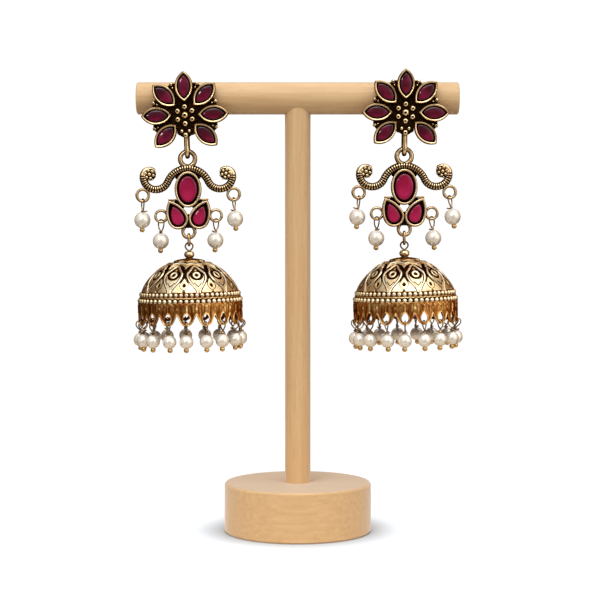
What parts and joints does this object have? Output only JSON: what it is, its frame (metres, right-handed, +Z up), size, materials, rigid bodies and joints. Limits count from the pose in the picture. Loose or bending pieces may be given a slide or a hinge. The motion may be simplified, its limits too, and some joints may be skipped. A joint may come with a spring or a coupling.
{
  "type": "jhumka earring pair on display stand",
  "caption": "Pair of antique-gold jhumka earrings with ruby-red stones and pearl drops, hung by their studs from a wooden T-bar display stand.",
  "frame": {"origin": "centre of the underside of the stand's round base, where it rests on a table", "axes": "+Z up along the post, -Y towards the front, where the studs show, +X along the bar to the viewer's right"},
  "size_m": [0.1023, 0.046, 0.144],
  "materials": {
    "light_wood": "fine-sanded, unvarnished",
    "antique_gold": "cast, gilt, darkened in the recesses",
    "gilt_wire": "bright drawn wire",
    "ruby_stone": "polished, foil-backed",
    "ivory_pearl": "pearlescent coating"
  },
  "bodies": {
    "stand": {"stand_base": "light_wood", "stand_post": "light_wood", "stand_bar": "light_wood", "left_stud_flower": "antique_gold", "left_stud_post": "gilt_wire", "left_petal_stone_1": "ruby_stone", "left_petal_stone_2": "ruby_stone", "left_petal_stone_3": "ruby_stone", "left_petal_stone_4": "ruby_stone", "left_petal_stone_5": "ruby_stone", "left_petal_stone_6": "ruby_stone", "left_petal_stone_7": "ruby_stone", "right_stud_flower": "antique_gold", "right_stud_post": "gilt_wire", "right_petal_stone_1": "ruby_stone", "right_petal_stone_2": "ruby_stone", "right_petal_stone_3": "ruby_stone", "right_petal_stone_4": "ruby_stone", "right_petal_stone_5": "ruby_stone", "right_petal_stone_6": "ruby_stone", "right_petal_stone_7": "ruby_stone"},
    "left_bail": {"left_bail": "antique_gold"},
    "left_connector": {"left_connector_frame": "antique_gold", "left_oval_stone": "ruby_stone", "left_pear_stone_1": "ruby_stone", "left_pear_stone_2": "ruby_stone", "left_drop_pearl_1": "ivory_pearl", "left_drop_pearl_2": "ivory_pearl", "left_drop_pearl_3": "ivory_pearl", "left_drop_pearl_4": "ivory_pearl", "left_drop_pin_1": "gilt_wire", "left_drop_pin_2": "gilt_wire", "left_drop_pin_3": "gilt_wire", "left_drop_pin_4": "gilt_wire"},
    "left_link": {"left_link": "antique_gold"},
    "left_bell": {"left_bell": "antique_gold", "left_finial_bead": "antique_gold", "left_eye_pin": "antique_gold", "left_bell_pearls": "ivory_pearl", "left_bell_pins": "gilt_wire"},
    "right_bail": {"right_bail": "antique_gold"},
    "right_connector": {"right_connector_frame": "antique_gold", "right_oval_stone": "ruby_stone", "right_pear_stone_1": "ruby_stone", "right_pear_stone_2": "ruby_stone", "right_drop_pearl_1": "ivory_pearl", "right_drop_pearl_2": "ivory_pearl", "right_drop_pearl_3": "ivory_pearl", "right_drop_pearl_4": "ivory_pearl", "right_drop_pin_1": "gilt_wire", "right_drop_pin_2": "gilt_wire", "right_drop_pin_3": "gilt_wire", "right_drop_pin_4": "gilt_wire"},
    "right_link": {"right_link": "antique_gold"},
    "right_bell": {"right_bell": "antique_gold", "right_finial_bead": "antique_gold", "right_eye_pin": "antique_gold", "right_bell_pearls": "ivory_pearl", "right_bell_pins": "gilt_wire"}
  },
  "joints": [
    {"name": "left_bail_swing", "type": "hinge", "parent": "stand", "child": "left_bail", "pos_m": [-0.03444, -0.0022, 0.12451], "axis": [1, 0, 0], "range_deg": [-14, 35]},
    {"name": "left_connector_swing", "type": "hinge", "parent": "left_bail", "child": "left_connector", "pos_m": [-0.03416, -0.0022, 0.11716], "axis": [0, 1, 0], "range_deg": [-12, 25]},
    {"name": "left_link_swing", "type": "hinge", "parent": "left_connector", "child": "left_link", "pos_m": [-0.03381, -0.0022, 0.09201], "axis": [-1, 0, 0], "range_deg": [-25, 25]},
    {"name": "left_bell_swing", "type": "hinge", "parent": "left_link", "child": "left_bell", "pos_m": [-0.03378, -0.0022, 0.08974], "axis": [0, -1, 0], "range_deg": [-18, 18]},
    {"name": "right_bail_swing", "type": "hinge", "parent": "stand", "child": "right_bail", "pos_m": [0.03309, -0.0022, 0.1253], "axis": [1, 0, 0], "range_deg": [-14, 35]},
    {"name": "right_connector_swing", "type": "hinge", "parent": "right_bail", "child": "right_connector", "pos_m": [0.03301, -0.0022, 0.11795], "axis": [0, 1, 0], "range_deg": [-25, 12]},
    {"name": "right_link_swing", "type": "hinge", "parent": "right_connector", "child": "right_link", "pos_m": [0.0331, -0.0022, 0.09279], "axis": [-1, 0, 0], "range_deg": [-25, 25]},
    {"name": "right_bell_swing", "type": "hinge", "parent": "right_link", "child": "right_bell", "pos_m": [0.03311, -0.0022, 0.09012], "axis": [0, -1, 0], "range_deg": [-18, 18]}
  ]
}
